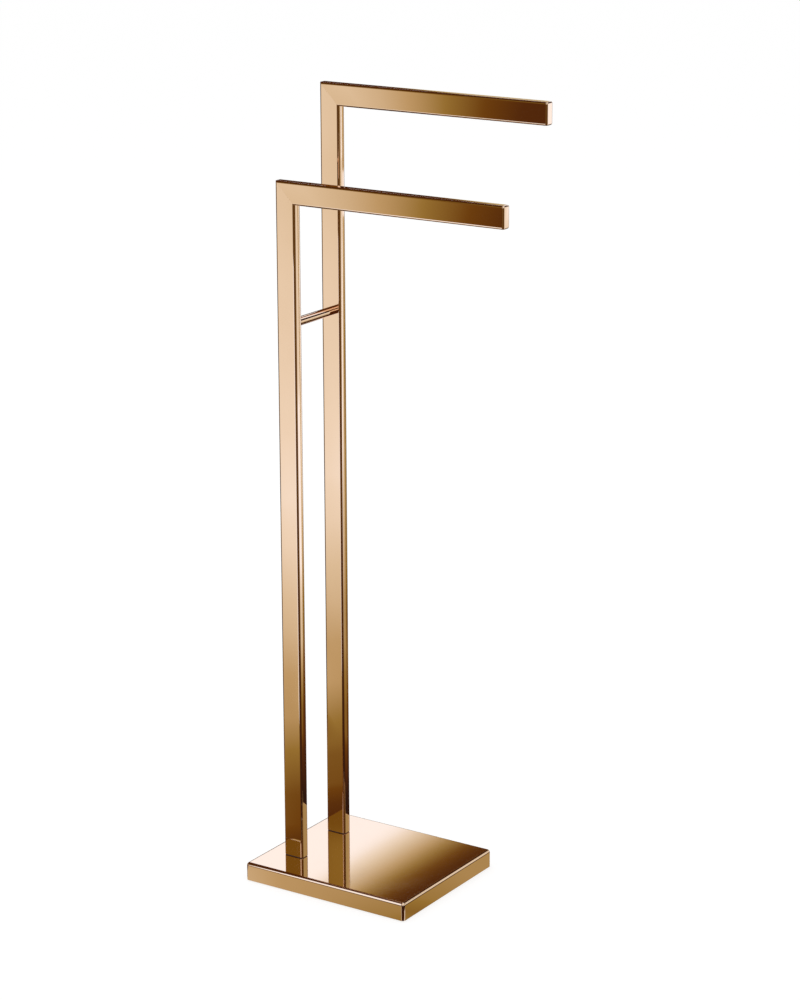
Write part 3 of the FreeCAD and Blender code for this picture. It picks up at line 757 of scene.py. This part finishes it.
class STAND_OT_stage(bpy.types.Operator):
    """Sets the floor, the white surround, the studio cards, the lamp and the camera"""

    bl_idname = "towel_stand.stage"
    bl_label = "Studio"

    def execute(self, context):
        scene = context.scene
        self.world(scene)
        self.floor()
        self.floor_sheet()
        self.tent()
        self.near_cards()
        self.lamp()
        self.camera(scene)
        scene.view_settings.view_transform = "Standard"
        return {"FINISHED"}

    def world(self, scene):
        """White to the camera and in mirrors, and a softer light on the scene."""
        world = bpy.data.worlds.new("white_surround")
        scene.world = world
        world.use_nodes = True
        n = Nodes(world.node_tree)
        path = n.add("LightPath").outputs
        seen = n.math("MAXIMUM", path["Is Camera Ray"],
                      n.math("MAXIMUM", path["Is Glossy Ray"], path["Is Transmission Ray"]))
        soft = n.add("Background", {"Color": (1, 1, 1, 1), "Strength": SURROUND_LIGHT})
        white = n.add("Background", {"Color": (1, 1, 1, 1), "Strength": 1.0})
        both = n.add("MixShader", {0: seen, 1: soft.outputs[0], 2: white.outputs[0]})
        output = n.add("OutputWorld")
        n.tree.links.new(both.outputs[0], output.inputs["Surface"])

    def floor(self):
        """The pale floor that the camera sees, which holds the stand's shadow."""
        deselect()
        bpy.ops.mesh.primitive_plane_add(size=FLOOR_SIZE)
        floor = bpy.context.object
        floor.name = "studio_floor"
        material, n = new_material("white_floor")
        darker, lighter = ((shade,) * 3 for shade in FLOOR_SHADES)
        paper = n.noise(n.place(), scale=400)
        matt = n.add("BsdfDiffuse", {"Color": n.blend(paper, darker, lighter)})
        glow = n.add("Emission", {"Color": (1, 1, 1, 1), "Strength": FLOOR_GLOW})
        n.surface(n.add("AddShader", {0: matt.outputs[0], 1: glow.outputs[0]}))
        wear(floor, material)

    def floor_sheet(self):
        """A graded sheet that lies on the floor and shows only in the polished metal."""
        deselect()
        bpy.ops.mesh.primitive_plane_add(size=SHEET_SIZE, location=(0, 0, SHEET_HEIGHT))
        sheet = bpy.context.object
        sheet.name = "graded_floor_sheet"
        material, n = new_material("graded_floor_sheet")
        x, y, _ = n.split(n.place())
        turn = n.math("ADD", n.math("DIVIDE", n.math("ARCTAN2", x, y), math.tau), 0.5)
        off_x, off_y = (n.math("SUBTRACT", at, middle) for at, middle in zip((x, y), SHEET_MIDDLE))
        away = n.math("SQRT", n.math("ADD", n.math("MULTIPLY", off_x, off_x),
                                     n.math("MULTIPLY", off_y, off_y)))
        # a root scale spreads the near distances over more of the curve
        ring = n.math("SQRT", n.math("DIVIDE", away, SHEET_RADIUS), clamp=True)
        by_distance = curve(n, ring, [(math.sqrt(metres / SHEET_RADIUS), tone)
                                      for metres, tone in TONE_BY_DISTANCE])
        far = n.math("MULTIPLY", by_distance, self.sheet_directions(n, turn, away))
        far = n.math("MULTIPLY", far, self.sheet_shades(n, turn, away))
        far = n.math("MAXIMUM", far, self.sheet_windows(n, x, y, away, by_distance))
        lines = self.sheet_lines(n, x, y, away)
        far = n.math("MULTIPLY", far, n.ease(lines, 0, 1, 1, LINES_SHARE))
        past = self.past_zone(n, x, y)
        tone = n.mix(n.ease(past, 0.0, ZONE_FADE), self.zone_tone(n, x, y, turn), far)
        n.surface(n.add("Emission", {"Color": tone_ramp(n, tone)}))
        wear(sheet, material)
        only_in_reflections(sheet)

    def sheet_directions(self, n, turn, away):
        """The sheet's tone by direction."""
        past = n.math("SUBTRACT", turn, share_of_turn(EDGE_MIDDLE))
        further = n.math("MULTIPLY", past, n.ease(away, *EDGE_DISTANCES, 0.0, EDGE_STEEPER))
        further = n.math("MINIMUM", further, EDGE_STEEPER_LIMIT / 360)
        far = by_direction(n, n.math("ADD", turn, further), FAR_TONE)
        closer = by_direction(n, turn, CLOSER_TONE)
        return n.mix(n.ease(away, *CLOSER_TO_FAR), closer, far)

    def sheet_shades(self, n, turn, away):
        """What the shades leave of the sheet's tone, from 0 to 1."""
        left_over = 1.0
        for _, start, whole, points in SHADES:
            shade = n.math("MULTIPLY", by_direction(n, turn, points), n.ease(away, start, whole))
            left_over = n.math("SUBTRACT", left_over, shade)
        return left_over

    def sheet_windows(self, n, x, y, away, by_distance):
        """The tone of the sheet's windows, which are centred on the posts' middle line."""
        post_low, post_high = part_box("front_post")
        off = n.math("SUBTRACT", x, (post_low.x + post_high.x) / 2)
        bands = window(n, n.direction(off, y), n.ease(away, *SHEET_WINDOW_NARROWER))
        return n.math("MULTIPLY", n.math("MULTIPLY", bands, by_distance), SHEET_WINDOW_TONE)

    def sheet_lines(self, n, x, y, away):
        """1 on the two dark lines behind the posts, and 0 beside them."""
        fan = n.direction(n.math("SUBTRACT", x, FAN_PLACE[0]), n.math("SUBTRACT", y, FAN_PLACE[1]))
        gap = n.between(away, *REAR_LINE_GAP)
        rear = n.math("MULTIPLY", n.between(fan, *REAR_LINE), n.math("SUBTRACT", 1.0, gap))
        lines = n.math("MAXIMUM", n.between(fan, *FRONT_LINE), rear)
        return n.math("MULTIPLY", lines, n.ease(y, *LINES_START))

    def past_zone(self, n, x, y):
        """How far a place is outside the zone close to the base, and below 0 inside it."""
        past = n.math("MAXIMUM", n.math("SUBTRACT", n.math("ABSOLUTE", x), ZONE_REACH[0]),
                      n.math("SUBTRACT", n.math("ABSOLUTE", y), ZONE_REACH[1]))
        past = n.math("MAXIMUM", past, n.math("SUBTRACT", ZONE_CORNER, n.math("ADD", x, y)))
        behind_strip = n.math("MINIMUM", n.math("SUBTRACT", ZONE_LEFT, x),
                              n.math("SUBTRACT", y, ZONE_FRONT))
        return n.math("MAXIMUM", past, behind_strip)

    def zone_tone(self, n, x, y, turn):
        """The tone close to the base, with the two wedges in front of its nearest corner."""
        tone = by_direction(n, turn, ZONE_TONE)
        round_corner = n.direction(n.math("SUBTRACT", x, WEDGE_PLACE[0]),
                                   n.math("SUBTRACT", WEDGE_PLACE[1], y))
        for _, limits, wedge_tone in WEDGES:
            tone = n.mix(n.between(round_corner, *limits), tone, wedge_tone)
        return tone

    def tent(self):
        """A far tent of graded panels round the stand, which shows only in the polished metal."""
        deselect()
        bpy.ops.mesh.primitive_uv_sphere_add(segments=64, ring_count=32, radius=TENT_RADIUS)
        tent = bpy.context.object
        tent.name = "panel_tent"
        material, n = new_material("panel_tent")
        out = n.add("VectorMath", {0: n.place()}, operation="NORMALIZE").outputs[0]
        x, y, z = n.split(out)
        direction = n.direction(x, y)
        height = n.math("MULTIPLY", n.math("ARCSINE", z), math.degrees(1))
        tone = TENT_TONE
        for _, left, right, bottom, top, slant, panel_tone, fades in TENT_PANELS:
            leant = n.math("ADD", direction, n.math("MULTIPLY", height, slant)) if slant else direction
            cover = panel(n, leant, height, left, right, bottom, top, fades)
            tone = n.mix(cover, tone, panel_tone)
        windows = n.math("MULTIPLY", window(n, direction), n.between(height, *TENT_WINDOW_HEIGHT))
        tone = n.mix(windows, tone, n.ease(height, *TENT_WINDOW_TONE))
        colour = tone_ramp(n, tone)
        for _, left, right, bottom, top, fades, card_colour in COLOUR_CARDS:
            cover = panel(n, direction, height, left, right, bottom, top, fades)
            colour = n.blend(cover, colour, card_colour)
        n.surface(n.add("Emission", {"Color": colour}))
        wear(tent, material)
        only_in_reflections(tent)

    def near_cards(self):
        """Upright cards near the stand, which only single edges and the spacer bar mirror."""
        half = CARD_THICKNESS / 2
        for name, tone, y, left, right, low, high in NEAR_CARDS:
            material, n = new_material(name)
            n.surface(n.add("Emission", {"Color": tone_ramp(n, tone)}))
            card = start_box(name, (left, y - half, low), (right, y + half, high))
            wear(card, material)
            only_in_reflections(card)

    def lamp(self):
        """A large soft lamp overhead, aimed at the base, that mirrors don't show."""
        bpy.ops.object.light_add(type="AREA", location=LAMP_PLACE)
        lamp = bpy.context.object
        lamp.name = "soft_overhead_lamp"
        lamp.data.shape, lamp.data.size = "SQUARE", LAMP_SIZE
        lamp.data.energy = LAMP_POWER
        lamp.visible_glossy = False
        lamp.rotation_mode = "QUATERNION"
        lamp.rotation_quaternion = lamp.location.to_track_quat("Z", "Y")

    def camera(self, scene):
        """The camera at the photograph's viewpoint."""
        azimuth, elevation, roll = (math.radians(angle) for angle in VIEW_ANGLES)
        back = Vector((math.sin(azimuth) * math.cos(elevation),
                       -math.cos(azimuth) * math.cos(elevation), math.sin(elevation)))
        right = (-back).cross(Vector((0, 0, 1))).normalized()
        up = right.cross(-back)
        tilted = right * math.cos(roll) + up * math.sin(roll)
        upright = up * math.cos(roll) - right * math.sin(roll)
        data = bpy.data.cameras.new("photo_camera")
        data.lens, data.sensor_width = VIEW_LENS_MM, VIEW_SENSOR_MM
        data.clip_start, data.clip_end = VIEW_CLIP
        camera = bpy.data.objects.new("photo_camera", data)
        scene.collection.objects.link(camera)
        axes = Matrix((tilted, upright, back)).transposed().to_4x4()
        camera.matrix_world = Matrix.Translation(VIEW_PLACE) @ axes
        scene.camera = camera


# ---------------------------------------------------------------- panel and running

OPERATORS = (STAND_OT_tubes, STAND_OT_end_caps, STAND_OT_base_cover, STAND_OT_spacer_bar,
             STAND_OT_hardware, STAND_OT_stage)


class STAND_PT_panel(bpy.types.Panel):
    """Lists the stand's pieces and what a user may change."""

    bl_idname = "STAND_PT_panel"
    bl_label = "Towel Stand"
    bl_space_type = "VIEW_3D"
    bl_region_type = "UI"
    bl_category = "Towel Stand"

    def draw(self, context):
        for group in (context.scene.stand_sizes, context.scene.stand_colours):
            column = self.layout.column(align=True)
            for name in group.__annotations__:
                column.prop(group, name)
        for operator in OPERATORS:
            self.layout.operator(operator.bl_idname)


CLASSES = (StandSizes, StandColours, *OPERATORS, STAND_PT_panel)


def register():
    for cls in CLASSES:
        bpy.utils.register_class(cls)
    bpy.types.Scene.stand_sizes = bpy.props.PointerProperty(type=StandSizes)
    bpy.types.Scene.stand_colours = bpy.props.PointerProperty(type=StandColours)


def unregister():
    del bpy.types.Scene.stand_sizes, bpy.types.Scene.stand_colours
    for cls in reversed(CLASSES):
        bpy.utils.unregister_class(cls)


def main():
    register()
    for operator in OPERATORS:
        group, name = operator.bl_idname.split(".")
        getattr(getattr(bpy.ops, group), name)()
    deselect()


if __name__ == "__main__":
    main()
